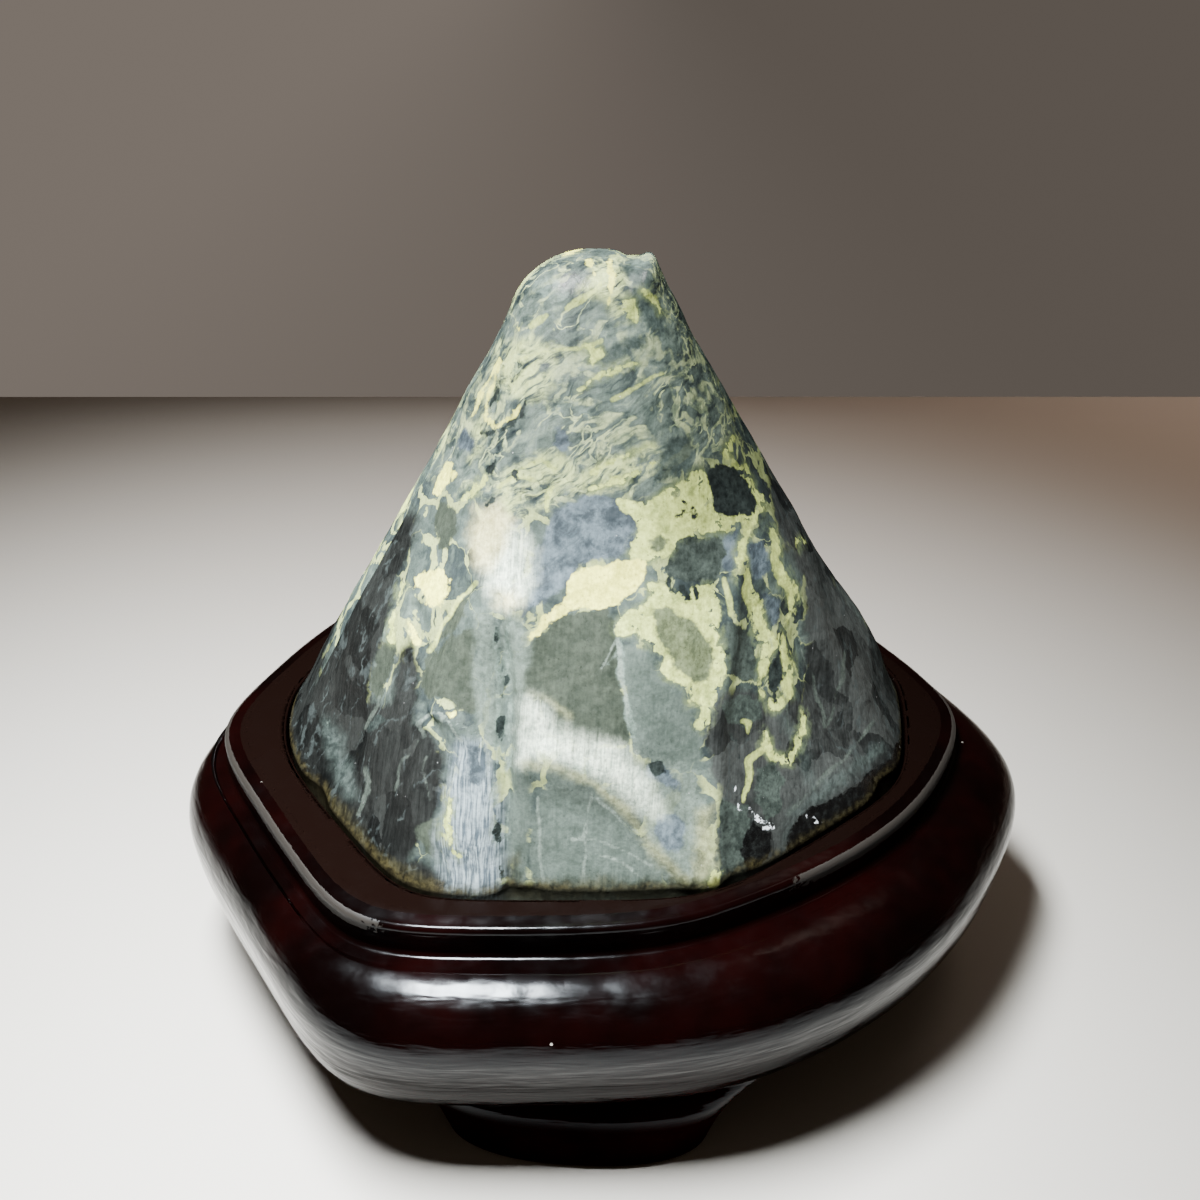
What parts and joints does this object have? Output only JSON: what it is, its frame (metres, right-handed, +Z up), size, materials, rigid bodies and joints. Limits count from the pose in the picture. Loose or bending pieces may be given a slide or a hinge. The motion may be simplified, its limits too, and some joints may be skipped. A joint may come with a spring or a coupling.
{
  "type": "scholars rock",
  "caption": "Palm-size peaked scholar's rock of veined grey-green stone, standing in the recess of a carved, lacquered wooden stand with a stepped rim and bracket feet",
  "frame": {"origin": "on the table, under the middle of the stand's footprint: the bottom centre of the bounding box", "axes": "+Z up. +X to the right along the stand's longer side, the longest extent. -Y is the front, towards the viewer, where the front foot is; +Y is the back."},
  "size_m": [0.1272, 0.1092, 0.1112],
  "materials": {
    "veined_stone": "polished, silky",
    "dark_red_lacquer": "gloss lacquer"
  },
  "bodies": {
    "root": {"stone": "veined_stone", "stand": "dark_red_lacquer"}
  },
  "joints": []
}
